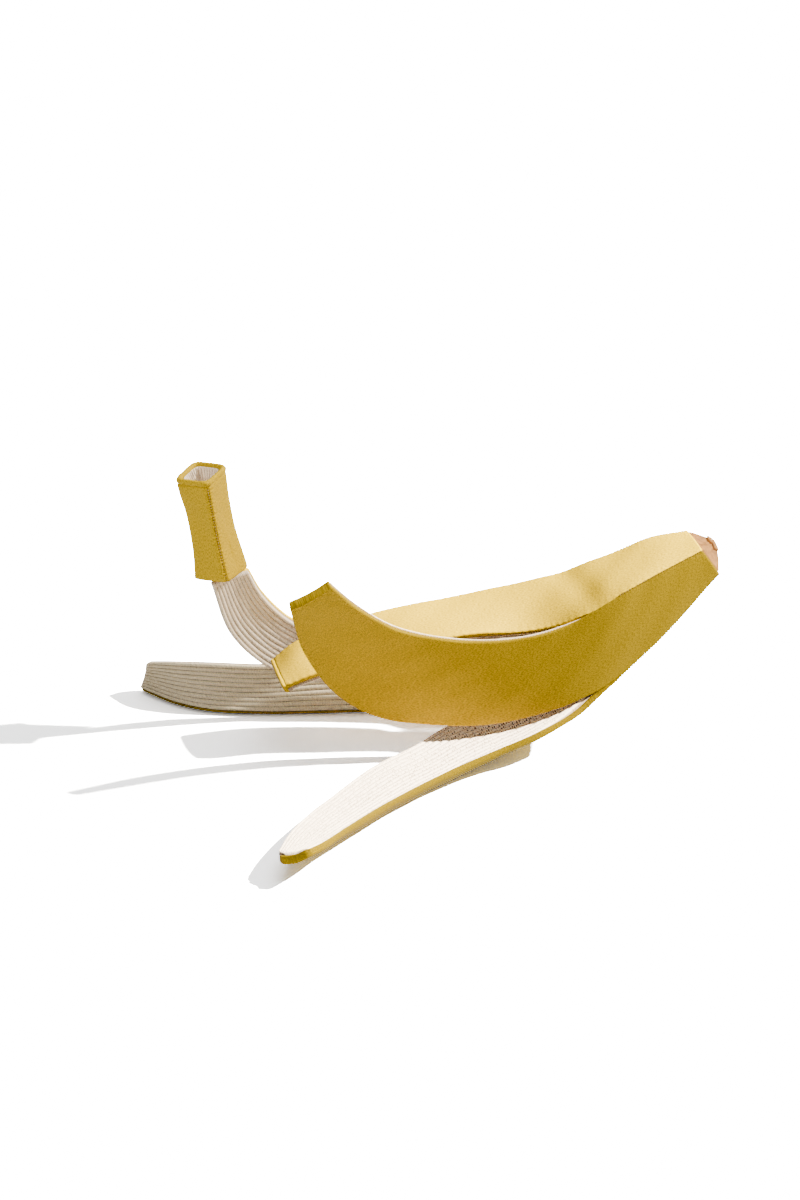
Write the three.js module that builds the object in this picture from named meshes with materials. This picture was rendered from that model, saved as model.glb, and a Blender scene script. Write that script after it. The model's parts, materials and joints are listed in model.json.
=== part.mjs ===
// A banana peel sewn from cloth, lying opened on a flat surface.
// Five padded satin strips with a corded lining are sewn edge to edge into a tube at the blossom
// end and hang free from the split. One strip carries the square stem sleeve, and a folded
// leather cap closes the blossom end.
// Units are millimetres, +Z is up, and the surface that the peel lies on is z = 0.
import * as THREE from "three";

// Layers of each strip
const SATIN = 3.6; // thickness of the padded satin layer
const LINING = 3; // thickness of the corded lining
const GAP = 0.3; // clearance between pieces that touch
const SEWN_BEVEL = 1.2; // run of a mitred seam wall for each millimetre of its depth
const FREE_BEVEL = 0.12; // the same for a free edge, which is nearly square
const LINING_EDGE = 0.6; // satin that shows between its edge wall and the lining
const HEM = 3; // length of the satin lip that folds over the lining at a strip's free end
const CROWN = 1.6; // how far the padding lifts the middle of a strip's width

// Stations and columns of the strip surfaces
const SEWN_STEPS = 6;
const FREE_STEPS = 24;
const EASE_STEPS = 5; // free stations over which the mitred wall turns into a square one
const COLUMNS = 4;

// The seams from the blossom end back to the split: tip, middle, split.
const SEAMS = {
  EA: [[189.8, 85.6, 112.5], [155, 71, 76], [120.3, 56, 46.5]],
  AB: [[178.4, 82, 130.7], [150.8, 69, 120.8], [123.2, 56, 109.9]],
  BC: [[168.4, 100.9, 136.5], [143.7, 99.5, 132], [121.6, 97.6, 122.9]],
  CD: [[173.6, 116.2, 121.6], [148, 126, 112], [121.6, 132.7, 97.5]],
  DE: [[186.9, 106.7, 106.6], [153, 109, 76], [119, 108, 53.3]],
};

// Each strip runs between two seams, and past the split along two free edges of its own. The
// curl is how far its second free edge turns up at most, and CURL_SHIFT moves that place along.
const CURL_SHIFT = 0.7;
const STRIPS = {
  a: {
    from: "EA",
    to: "AB",
    fromFree: [[101, 50, 39], [85, 46.5, 33], [41, 42, 23.5], [-4, 40, 24.5], [-35, 38.5, 31], [-60, 35, 48],
      [-81, 22, 84], [-90, 1, 126.5]],
    toFree: [[85, 48, 90], [52, 43, 84], [14.5, 39, 86], [-20, 31, 97], [-44, 18.5, 117],
      [-63, 3, 141.5]],
  },
  b: {
    from: "AB",
    to: "BC",
    fromFree: [[72, 60, 85.5], [14, 57, 80], [-33, 54, 69], [-75, 46, 58], [-96, 45, 49.5]],
    toFree: [[72, 98, 104.7], [14, 99, 90.3], [-35, 95, 81], [-86.5, 84, 65.6], [-104.5, 80, 52.5]],
  },
  c: {
    from: "BC",
    to: "CD",
    fromFree: [[72, 104, 94], [14, 108, 72], [-35, 108, 62], [-68, 109, 61], [-90, 108, 71],
      [-109, 100, 94], [-118, 95, 113]],
    toFree: [[76, 129, 73], [14, 116, 38], [-35, 110, 27], [-75, 107, 27], [-106, 103, 39],
      [-130, 96, 66], [-143, 87, 108]],
  },
  d: {
    from: "CD",
    to: "DE",
    fromFree: [[76, 141, 58], [14, 131, 38.5], [-35, 123, 36.5], [-75, 118.5, 35.5], [-105, 115, 33.5],
      [-155, 124, 30.5], [-183, 143, 22]],
    toFree: [[78, 111, 15], [50, 112, 2.2], [0, 111, 0.7], [-55, 109, 0.4], [-108, 108, 0.4],
      [-143, 111, 0.4], [-165, 122, 0.4], [-188.5, 143.5, 0.8]],
  },
  e: {
    from: "DE",
    to: "EA",
    fromFree: [[66, 89, 20], [11.6, 63.3, 6.5], [-7.2, 43.4, 3.2], [-37.1, 11, 2.2], [-64.4, -37.3, 3.2],
      [-78.7, -67.6, 5.5], [-89.7, -102.1, 9], [-96.3, -140.7, 12.5]],
    toFree: [[98.5, 43.5, 27.5], [72.2, 28.1, 16], [45.8, 14.8, 8.5], [19.5, -6.1, 4.5],
      [-5.1, -32.2, 3.2], [-26.1, -62, 5], [-50.7, -104.4, 10.5], [-67, -137.3, 18],
      [-75.7, -150.9, 23]],
    curl: 8,
  },
};

// Square stem sleeve
const STEM_BASE = new THREE.Vector3(-135.9, 92.4, 111);
const STEM_TOP = new THREE.Vector3(-148.5, 88.5, 184.2);
const STEM_SIDE = 25.4;
const STEM_TURN = -30.7; // degrees from +X to the direction of its front left face
const STEM_WALL = 3.2;
const STEM_CORNER = 3;
const STEM_WAIST = 0.1; // how much narrower the sleeve is half way up, as a share of its side
const WAIST_LOOPS = [0.25, 0.5, 0.75]; // places of the waist's loops up the sleeve
const HEM_HEIGHT = 4;
const HEM_PROUD = 0.7;
const STEM_LINING = 1.6;
const FUNNEL_DEPTH = 26;
const FUNNEL_WAIST = 0.62; // width of the funnel half way down, as a share of its mouth
const FUNNEL_BOTTOM = 0.2; // the same at its bottom
const FUNNEL_CORNERS = [1, 0.9, 0.5]; // corner radii at the mouth, half way down and at the bottom

// Satin gusset behind the stem's foot
const NECK_DROP = 8.5; // from the foot down to the gusset's ridge
const NECK_RIDGE = 0.2; // how far its lower edge bulges towards that ridge
const NECK_FOLD = 0.3; // how far the gusset's folds stand from the back corner
const NECK_TOP = [0.06, 0.5, 0.94]; // its upper edge across the strip's end
const NECK_FOOT = [0.3, 0.5, 0.7]; // its lower edge across the strip
const NECK_EDGE = 1; // thickness of its lower edge

// Blossom end cap
// The cap's rings from its foot to its peak: size against the ring of satin, and height over the
// plane of the satin's ends. The last three make the knob.
const CAP_RINGS = [[0.86, 0.9], [0.86, 2.1], [0.5, 5.2], [0.13, 7.3], [0.15, 8.4], [0.08, 9.5]];

// Middle of the peel's footprint and its lowest point, which become the origin
const CENTRE = new THREE.Vector3(-1.4, -3.2, 0.48);

const COLOURS = { satin: 0xd2a83c, lining: 0xeee4d2, leather: 0xd39c74 };

function material(kind) {
  return new THREE.MeshStandardMaterial({ color: COLOURS[kind], roughness: 0.7, metalness: 0 });
}

function vector(point) {
  return new THREE.Vector3(...point);
}

function curve(points) {
  return new THREE.CatmullRomCurve3(points.map(vector), false, "centripetal");
}

// Joins a list of closed loops into one body, and closes its ends or rolls it into a ring. The
// first half of a loop and the second are split along the same diagonals, so layers that are bent
// alike stay clear of each other.
function skin(name, kind, loops, ring = false) {
  const size = loops[0].length;
  const positions = loops.flat().flatMap((p) => [p.x, p.y, p.z]);
  const index = [];
  const last = loops.length - 1;
  for (let i = 0; i < (ring ? loops.length : last); i++) {
    const near = i * size;
    const far = ((i + 1) % loops.length) * size;
    for (let j = 0; j < size; j++) {
      const k = (j + 1) % size;
      if (j < size / 2) index.push(near + j, near + k, far + k, near + j, far + k, far + j);
      else index.push(near + j, near + k, far + j, near + k, far + k, far + j);
    }
  }
  if (!ring) {
    for (let j = 0; j < size / 2 - 1; j++) {
      const across = size - 1 - j;
      const end = last * size;
      index.push(j, across, j + 1, j + 1, across, across - 1);
      index.push(end + j, end + j + 1, end + across, end + j + 1, end + across - 1, end + across);
    }
  }
  const geometry = new THREE.BufferGeometry();
  geometry.setAttribute("position", new THREE.Float32BufferAttribute(positions, 3));
  geometry.setIndex(index);
  geometry.computeVertexNormals();
  const mesh = new THREE.Mesh(geometry, material(kind));
  mesh.name = name;
  return mesh;
}

// One edge of a strip: the seam it shares up to the split, then its own free edge.
function edge(seam, free) {
  const sewn = curve(SEAMS[seam]);
  const loose = curve([SEAMS[seam][2], ...free]);
  const points = [];
  for (let i = 0; i <= SEWN_STEPS; i++) points.push(sewn.getPointAt(i / SEWN_STEPS));
  for (let i = 1; i <= FREE_STEPS; i++) points.push(loose.getPointAt(i / FREE_STEPS));
  return points;
}

// How far a strip's edge wall has turned from the mitre of a seam to a nearly square edge.
function bevel(station) {
  const eased = THREE.MathUtils.smoothstep(station, SEWN_STEPS, SEWN_STEPS + EASE_STEPS);
  return THREE.MathUtils.lerp(SEWN_BEVEL, FREE_BEVEL, eased);
}

// The stations of a strip: both edges, and the direction that its satin faces.
function stations(strip) {
  const from = edge(strip.from, strip.fromFree);
  const to = edge(strip.to, strip.toFree);
  const middle = from.map((p, i) => p.clone().lerp(to[i], 0.5));
  return from.map((p, i) => {
    const ahead = middle[Math.min(i + 1, middle.length - 1)];
    const behind = middle[Math.max(i - 1, 0)];
    const along = ahead.clone().sub(behind);
    const across = to[i].clone().sub(p);
    const width = across.length();
    const left = THREE.MathUtils.clamp((from.length - 1 - i) / FREE_STEPS, 0, 1);
    const curl = (strip.curl ?? 0) * Math.sin(Math.PI * left ** CURL_SHIFT);
    return { from: p, to: to[i], width, curl, bevel: bevel(i), out: across.cross(along).normalize() };
  });
}

// The free end's station, drawn back along the strip.
function drawnBack(list, length) {
  const [before, last] = list.slice(-2);
  const pull = (p, q) => p.clone().add(q.clone().sub(p).setLength(length));
  return { ...last, from: pull(last.from, before.from), to: pull(last.to, before.to) };
}

// A row of points across a strip, a given depth under its satin face and in from both edges.
// Its last point is turned up by the curl.
function row(station, depth, inset) {
  const margin = inset / station.width;
  const points = [];
  for (let j = 0; j <= COLUMNS; j++) {
    const t = j / COLUMNS;
    const lift = CROWN * (1 - (2 * t - 1) ** 2) - depth - (j === COLUMNS ? station.curl : 0);
    const p = station.from.clone().lerp(station.to, margin + t * (1 - 2 * margin));
    points.push(p.addScaledVector(station.out, lift));
  }
  return points;
}

// The section of one layer of a strip, between two depths under the satin face.
function section(station, outer, inner, margin) {
  return [
    ...row(station, outer, GAP / 2 + margin + station.bevel * outer),
    ...row(station, inner, GAP / 2 + margin + station.bevel * inner).reverse(),
  ];
}

// The satin of a strip, with a lip over the end of its lining.
function satin(letter) {
  const list = stations(STRIPS[letter]);
  const loops = list.slice(0, -1).map((s) => section(s, 0, SATIN, 0));
  loops.push(
    section(drawnBack(list, HEM), 0, SATIN, 0),
    section(drawnBack(list, HEM - GAP), 0, SATIN + GAP + LINING, 0),
    section(list[list.length - 1], 0, SATIN + GAP + LINING, 0),
  );
  return skin(`satin_${letter}`, "satin", loops);
}

// The lining of a strip, a gap's width clear of the satin all round.
function lining(letter) {
  const list = stations(STRIPS[letter]);
  list.push(drawnBack(list, HEM + GAP));
  list.splice(-2, 1);
  const outer = SATIN + GAP;
  const loops = list.map((s) => section(s, outer, outer + LINING, LINING_EDGE));
  return skin(`lining_${letter}`, "lining", loops);
}

// The frame of the stem: its axis, and the directions of its two visible faces.
const STEM_AXIS = STEM_TOP.clone().sub(STEM_BASE).normalize();
const STEM_LENGTH = STEM_TOP.distanceTo(STEM_BASE);
const STEM_ALONG = new THREE.Vector3(1, 0, 0)
  .applyAxisAngle(new THREE.Vector3(0, 0, 1), THREE.MathUtils.degToRad(STEM_TURN))
  .projectOnPlane(STEM_AXIS)
  .normalize();
const STEM_BACK = STEM_AXIS.clone().cross(STEM_ALONG);

// A rounded square round the stem's axis at a height over its foot.
function square(height, side, corner) {
  const half = side / 2 - corner;
  const points = [];
  for (let q = 0; q < 4; q++) {
    for (let s = 0; s <= 2; s++) {
      const angle = (q + s / 2) * (Math.PI / 2);
      const cx = [half, -half, -half, half][q];
      const cy = [half, half, -half, -half][q];
      const p = STEM_BASE.clone().addScaledVector(STEM_AXIS, height);
      p.addScaledVector(STEM_ALONG, cx + corner * Math.cos(angle));
      points.push(p.addScaledVector(STEM_BACK, cy + corner * Math.sin(angle)));
    }
  }
  return points;
}

function stemSleeve() {
  const inner = STEM_SIDE - 2 * STEM_WALL;
  const proud = STEM_SIDE + 2 * HEM_PROUD;
  const hem = STEM_LENGTH - HEM_HEIGHT;
  return skin("stem_sleeve", "satin", [
    square(0, STEM_SIDE, STEM_CORNER),
    ...WAIST_LOOPS.map((t) =>
      square(t * hem, STEM_SIDE * (1 - STEM_WAIST * Math.sin(Math.PI * t)), STEM_CORNER)),
    square(hem - HEM_PROUD, STEM_SIDE, STEM_CORNER),
    square(hem, proud, STEM_CORNER),
    square(STEM_LENGTH, proud, STEM_CORNER),
    square(STEM_LENGTH, inner, FUNNEL_CORNERS[0]),
    square(0, inner, FUNNEL_CORNERS[0]),
  ], true);
}

// A cup of lining inside the sleeve, narrowing to a closed bottom.
function stemLining() {
  const outer = STEM_SIDE - 2 * STEM_WALL - 2 * GAP;
  const mouth = outer - 2 * STEM_LINING;
  const top = STEM_LENGTH - HEM_HEIGHT / 2;
  const bottom = top - FUNNEL_DEPTH;
  return skin("stem_lining", "lining", [
    square(bottom - STEM_LINING, outer, FUNNEL_CORNERS[0]),
    square(top, outer, FUNNEL_CORNERS[0]),
    square(top, mouth, FUNNEL_CORNERS[0]),
    square(bottom + FUNNEL_DEPTH / 2, mouth * FUNNEL_WAIST, FUNNEL_CORNERS[1]),
    square(bottom, mouth * FUNNEL_BOTTOM, FUNNEL_CORNERS[2]),
  ]);
}

// The satin gusset that closes the back of the neck, from the sleeve's foot down the strip.
function stemGusset() {
  const rows = stations(STRIPS.c);
  const end = rows[rows.length - 1];
  const low = rows[rows.length - 3];
  const back = square(-GAP, STEM_SIDE, STEM_CORNER)[4];
  const clear = (s, t) => s.from.clone().lerp(s.to, t).addScaledVector(s.out, CROWN + GAP);
  const below = (p) => {
    const over = p.clone().sub(STEM_BASE).dot(STEM_AXIS) + GAP;
    return p.addScaledVector(STEM_AXIS, -Math.max(over, 0));
  };
  const upper = NECK_TOP.map((t) => below(clear(end, t)));
  const lower = NECK_FOOT.map((t) => clear(low, t));
  const ridge = back.clone().addScaledVector(STEM_AXIS, -NECK_DROP);
  const fold = (p) => back.clone().lerp(p, NECK_FOLD);
  const raised = (p) => p.clone().addScaledVector(end.out, NECK_EDGE);
  return skin("stem_gusset", "satin", [
    [upper[0], upper[1], upper[2], fold(upper[2]), back, fold(upper[0])],
    [lower[0], lower[1], lower[2], raised(lower[2]), lower[1].clone().lerp(ridge, NECK_RIDGE),
      raised(lower[0])],
  ]);
}

// The folded cap over the blossom end: a low pyramid with a small knob at its peak.
function tipCap() {
  const corners = Object.values(SEAMS).map((s) => vector(s[0])).reverse();
  const centre = corners.reduce((sum, p) => sum.add(p), new THREE.Vector3()).divideScalar(5);
  const [first, second] = corners.map((p) => p.clone().sub(centre));
  const axis = first.cross(second).normalize();
  const foot = [];
  corners.forEach((p, i) => {
    const next = corners[(i + 1) % 5];
    foot.push(p.clone(), p.clone().lerp(next, 0.5));
  });
  const loop = (scale, height) =>
    foot.map((p) => centre.clone().lerp(p, scale).addScaledVector(axis, height));
  return skin("tip_cap", "leather", CAP_RINGS.map(([scale, height]) => loop(scale, height)));
}

const peel = new THREE.Group();
for (const letter of Object.keys(STRIPS)) peel.add(satin(letter), lining(letter));
peel.add(stemSleeve(), stemLining(), stemGusset(), tipCap());
peel.position.copy(CENTRE).negate();

export default peel;
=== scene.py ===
import json

import bpy
import numpy as np
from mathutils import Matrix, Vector

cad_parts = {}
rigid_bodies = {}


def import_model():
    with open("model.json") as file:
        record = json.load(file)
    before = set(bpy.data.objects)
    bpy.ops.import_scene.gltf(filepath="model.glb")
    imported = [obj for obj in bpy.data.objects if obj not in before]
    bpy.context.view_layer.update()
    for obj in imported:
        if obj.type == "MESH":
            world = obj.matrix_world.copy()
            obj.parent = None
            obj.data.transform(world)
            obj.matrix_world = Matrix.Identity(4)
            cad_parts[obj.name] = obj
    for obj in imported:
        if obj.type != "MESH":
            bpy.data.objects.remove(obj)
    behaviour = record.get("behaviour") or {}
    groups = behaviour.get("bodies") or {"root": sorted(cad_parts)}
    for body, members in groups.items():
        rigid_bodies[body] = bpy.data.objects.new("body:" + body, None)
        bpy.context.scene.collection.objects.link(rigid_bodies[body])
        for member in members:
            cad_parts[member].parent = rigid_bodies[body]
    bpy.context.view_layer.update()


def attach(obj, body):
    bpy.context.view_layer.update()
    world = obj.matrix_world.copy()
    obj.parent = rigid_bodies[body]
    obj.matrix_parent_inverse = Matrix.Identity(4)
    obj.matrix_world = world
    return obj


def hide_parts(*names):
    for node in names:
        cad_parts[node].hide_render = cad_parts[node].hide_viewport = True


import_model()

# Satin strips. Five lengths of golden satin, each sewn round a thin wadding, so their edges are
# rounded and their faces softly crowned. They are sewn edge to edge into a tube at the blossom
# end. Past the split each hangs free, and three of them end in a narrow folded hem.
CENTRE = np.array([-1.4, -3.2, 0.48])  # the frame's origin in the pattern's millimetres
SATIN = 3.6  # thickness of the padded satin, in mm
LINING = 3.0  # thickness of the corded lining, in mm
GAP = 0.3  # clearance between layers, in mm
SEWN_BEVEL = 1.2  # run of a mitred seam wall for each mm of depth
FREE_BEVEL = 0.12  # the same for a free edge
SOFTEN = 10.0  # mm over which the bend at the split is softened
EASE = 5 / 24  # share of the free length over which the mitre turns square
CROWN = 1.6  # lift of the padding in the middle of a strip, in mm
ROLL = 1.3  # radius of a free edge's rounding, in mm
SEWN_ROLL = 0.8  # the same beside a seam
SEAM_FILL = 0.25  # share of a sewn wall's mitre that the soft padding fills again
HEM = 3.0  # length of the folded hem at a free end, in mm
CURL_WIDTH, CURL_RISE = 13.0, 9.5  # the bottom strip's curled edge, in mm
CURL_SHIFT = 0.7  # moves the place of the most curl along the strip
LEAN = 0.26  # mm that the top strip's near edge leans out for each mm past the split
LEAN_REACH = 40.0  # mm past the split over which that edge leans out
LIP = {"d": 0.9, "e": 2.0}  # rise of the rolled satin beside a lining, in mm
LIP_WIDTH = {"d": 1.3, "e": 2.2}  # mm
CORNER = {"d": 2.6, "e": 6.0}  # mm, rounding of the corners of a free end
HEM_SHARE = {"e": 0.6}  # share of the lining's thickness that a hem folds over
HEM_LINE, HEM_LINE_WIDTH = 0.22, 0.45  # depth and width of a hem's sewn line, in mm
HEM_PUFF = 0.12  # how far the fold of a hem stands out, in mm
RAGGED = 0.3  # how far a hem's sewn line strays, in mm
PUCKER, PUCKER_REACH, PUCKER_TURN = 0.12, 2.4, 1.25  # mm, mm from the edge, radians for each mm
WAVE = 0.45  # slow unevenness of the padding, in mm
CREASE, CREASE_REACH = 1.2, 10.0  # depth and reach of the soft crease across the top strip, in mm
CREASE_FOOT, CREASE_SLANT = 111.0, 25.0  # its x at the near edge, and how far it slants back

# The seams from the blossom end back to the split: tip, middle, split.
SEAMS = {
    "EA": [(189.8, 85.6, 112.5), (155, 71, 76), (120.3, 56, 46.5)],
    "AB": [(178.4, 82, 130.7), (150.8, 69, 120.8), (123.2, 56, 109.9)],
    "BC": [(168.4, 100.9, 136.5), (143.7, 99.5, 132), (121.6, 97.6, 122.9)],
    "CD": [(173.6, 116.2, 121.6), (148, 126, 112), (121.6, 132.7, 97.5)],
    "DE": [(186.9, 106.7, 106.6), (153, 109, 76), (119, 108, 53.3)],
}

# Each strip's two seams, and the points of its two free edges past the split.
STRIPS = {
    "a": ("EA", "AB",
          [(101, 50, 39), (85, 46.5, 33), (41, 42, 23.5), (-4, 40, 24.5), (-35, 38.5, 31),
           (-60, 35, 48), (-81, 22, 84), (-90, 1, 126.5)],
          [(85, 48, 90), (52, 43, 84), (14.5, 39, 86), (-20, 31, 97), (-44, 18.5, 117),
           (-63, 3, 141.5)]),
    "b": ("AB", "BC",
          [(72, 60, 85.5), (14, 57, 80), (-33, 54, 69), (-75, 46, 58), (-96, 45, 49.5)],
          [(72, 98, 104.7), (14, 99, 90.3), (-35, 95, 81), (-86.5, 84, 65.6), (-104.5, 80, 52.5)]),
    "c": ("BC", "CD",
          [(72, 104, 94), (14, 108, 72), (-35, 108, 62), (-68, 109, 61), (-90, 108, 71),
           (-109, 100, 94), (-118, 95, 113)],
          [(76, 129, 73), (14, 116, 38), (-35, 110, 27), (-75, 107, 27), (-106, 103, 39),
           (-130, 96, 66), (-143, 87, 108)]),
    "d": ("CD", "DE",
          [(76, 141, 58), (14, 131, 38.5), (-35, 123, 36.5), (-75, 118.5, 35.5), (-105, 115, 33.5),
           (-155, 124, 30.5), (-183, 143, 22)],
          [(78, 111, 15), (50, 112, 2.2), (0, 111, 0.7), (-55, 109, 0.4), (-108, 108, 0.4),
           (-143, 111, 0.4), (-165, 122, 0.4), (-188.5, 143.5, 0.8)]),
    "e": ("DE", "EA",
          [(66, 89, 20), (11.6, 63.3, 6.5), (-7.2, 43.4, 3.2), (-37.1, 11, 2.2),
           (-64.4, -37.3, 3.2), (-78.7, -67.6, 5.5), (-89.7, -102.1, 9), (-96.3, -140.7, 12.5)],
          [(98.5, 43.5, 27.5), (72.2, 28.1, 16), (45.8, 14.8, 8.5), (19.5, -6.1, 4.5),
           (-5.1, -32.2, 3.2), (-26.1, -62, 5), (-50.7, -104.4, 10.5), (-67, -137.3, 18),
           (-75.7, -150.9, 23)]),
}


def flow(points, shares):
    """A smooth curve through the points, a centripetal Catmull-Rom, read at shares of its length."""
    p = np.array(points, float)
    p = np.vstack([2 * p[0] - p[1], p, 2 * p[-1] - p[-2]])
    a, b, c, d = p[:-3], p[1:-2], p[2:-1], p[3:]
    ab, bc, cd = (np.sqrt(np.linalg.norm(q, axis=1))[:, None] for q in (b - a, c - b, d - c))
    leave = ((b - a) / ab - (c - a) / (ab + bc) + (c - b) / bc) * bc
    arrive = ((c - b) / bc - (d - b) / (bc + cd) + (d - c) / cd) * bc
    t = np.linspace(0, 1, 65)[:, None, None]
    line = b + leave * t + (3 * (c - b) - 2 * leave - arrive) * t**2
    line = line + (2 * (b - c) + leave + arrive) * t**3
    line = line.transpose(1, 0, 2).reshape(-1, 3)
    run = length_run(line)
    return np.stack([np.interp(shares * run[-1], run, line[:, k]) for k in range(3)], axis=1)


def unit(vectors):
    """Vectors divided by their lengths."""
    return vectors / np.linalg.norm(vectors, axis=-1, keepdims=True)


def length_run(line):
    """The length run along a line of points at each of them."""
    return np.concatenate([[0], np.cumsum(np.linalg.norm(np.diff(line, axis=0), axis=1))])


def lay_out(letter, sewn, free):
    """A strip's stations: both edges, the way its satin faces, width, length run, slope of its
    edge walls, and how far each station is from the free end."""
    first, second, loose_a, loose_b = STRIPS[letter]
    low, high = (
        np.vstack([flow(SEAMS[s], sewn), flow([SEAMS[s][2], *loose], free)[1:]])
        for s, loose in ((first, loose_a), (second, loose_b))
    )
    run = length_run((low + high) / 2)
    reach = 0.05 + SOFTEN * np.exp(-(((run - run[len(sewn) - 1]) / (2 * SOFTEN)) ** 2))
    near = np.exp(-((run[:, None] - run[None]) ** 2) / (2 * reach[:, None] ** 2)) * np.gradient(run)
    near = near / near.sum(axis=1, keepdims=True)
    low, high = near @ low, near @ high
    middle = (low + high) / 2
    run = length_run(middle)
    along = np.gradient(middle, run, axis=0)
    out = unit(np.cross(high - low, along))
    for k in range(3):
        out[:, k] = np.convolve(np.pad(out[:, k], 4, mode="edge"), np.ones(9) / 9, "valid")
    ease = np.concatenate([np.zeros(len(sewn)), np.clip(free[1:] / EASE, 0, 1)])
    share = np.concatenate([np.ones(len(sewn)), 1 - free[1:]])
    slope = SEWN_BEVEL + (FREE_BEVEL - SEWN_BEVEL) * ease**2 * (3 - 2 * ease)
    width = np.linalg.norm(high - low, axis=1)
    freed = (SEWN_BEVEL - slope) / (SEWN_BEVEL - FREE_BEVEL)
    return {"low": low, "high": high, "out": unit(out), "along": unit(along), "width": width,
            "run": run, "slope": slope, "left": run[-1] - run, "freed": freed, "share": share,
            "letter": letter, "past": np.clip(run - run[len(sewn) - 1], 0, None)}


def place(strip, x, depth):
    """Points a distance x across each station from its middle, and a depth under its face, in
    the frame's metres. The middle of the width is lifted by the crown, the top strip's near edge
    leans out just past the split, and the bottom strip's near edge curls up by the square of
    how far a point is into the curl."""
    half = (strip["width"] / 2)[:, None]
    t = 0.5 + x / (2 * half)
    lift = CROWN * (1 - np.clip(x / half, -1, 1) ** 2) - depth
    if strip["letter"] in CORNER:
        corner = CORNER[strip["letter"]]
        near = np.clip(1 - strip["left"] / corner, 0, 1)[:, None]
        t = 0.5 + x / (2 * half) * (1 - corner / half * (1 - np.sqrt(1 - near**2)))
    if strip["letter"] == "b":
        past = strip["past"][:, None]
        lean = LEAN * past * np.exp(-((past / LEAN_REACH) ** 2)) / (2 * half)
        t = t - lean * np.clip(1 - t, 0, 1) ** 2
    if strip["letter"] == "e":
        into = np.clip(1 - (half - x) / CURL_WIDTH, 0, 1.1)
        lift = lift - CURL_RISE * into**2 * np.sin(np.pi * strip["share"] ** CURL_SHIFT)[:, None]
    flat = strip["low"][:, None] * (1 - t)[..., None] + strip["high"][:, None] * t[..., None]
    return (flat + strip["out"][:, None] * lift[..., None] - CENTRE) / 1000


def surface(name, grid, u, v, ring=False):
    """A mesh from a grid of points whose columns run round a closed loop, with UV in mm. The
    rows either close into a ring, or end in flat faces between the two halves of a loop."""
    rows, columns = grid.shape[:2]
    index = np.arange(rows * columns).reshape(rows, columns)
    right = np.roll(index, -1, axis=1)
    faces = np.stack([index, right, np.roll(right, -1, axis=0), np.roll(index, -1, axis=0)], -1)
    faces = (faces if ring else faces[:-1]).reshape(-1, 4)
    if not ring:
        j = np.arange(columns // 2 - 1)
        k = columns - 1 - j
        start, end = index[0], index[-1]
        faces = np.vstack([
            faces,
            np.stack([start[j], start[k], start[k - 1], start[j + 1]], axis=-1),
            np.stack([end[j], end[j + 1], end[k - 1], end[k]], axis=-1),
        ])
    mesh = bpy.data.meshes.new(name)
    mesh.from_pydata(grid.reshape(-1, 3).tolist(), [], faces.tolist())
    layer = mesh.uv_layers.new(name="UVMap")
    uv = np.stack([np.broadcast_to(u, (rows, columns)), np.broadcast_to(v, (rows, columns))], -1)
    layer.data.foreach_set("uv", uv.reshape(-1, 2)[faces.reshape(-1)].astype(np.float32).ravel())
    mesh.polygons.foreach_set("use_smooth", np.ones(len(faces), bool))
    mesh.update()
    piece = bpy.data.objects.new(name, mesh)
    bpy.context.scene.collection.objects.link(piece)
    return piece


def sway(x, y, seed):
    """A slow, soft unevenness between -1 and 1, as a sum of a few sine waves."""
    a = np.sin(x * 0.11 + y * 0.031 + seed) + np.sin(y * 0.083 - x * 0.06 + 2.1 * seed)
    return (a + np.sin(y * 0.19 + x * 0.17 + 0.7 * seed)) / 3


def pad_section(corner_steps, face_steps):
    """The loop of a rounded pad: place across (-1 to 1), overhang and height of its corners in
    roll radii, and whether a point is on the under side."""
    turn = np.linspace(0, np.pi / 2, corner_steps)
    face = np.sin(np.linspace(-np.pi / 2, np.pi / 2, face_steps)[1:-1])
    spread = np.concatenate([-np.ones(corner_steps), face, np.ones(corner_steps)])
    over = np.concatenate([-np.cos(turn), np.zeros(face_steps - 2), np.sin(turn)])
    drop = np.concatenate([1 - np.sin(turn), np.zeros(face_steps - 2), 1 - np.cos(turn)])
    under = np.repeat([False, True], len(spread))
    return (np.concatenate([spread, spread[::-1]]), np.concatenate([over, over[::-1]]),
            np.concatenate([drop, drop[::-1]]), under)


HEMMED = "abe"  # the strips that end in a hem; the lining runs to the end of the other two
SEWN_ROWS = 60  # stations in the sewn part
SEWN_SHARES = np.linspace(0, 1, SEWN_ROWS)
FREE_SHARES = np.concatenate([np.linspace(0, 0.965, 200), np.linspace(0.9665, 1, 36)])


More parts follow.
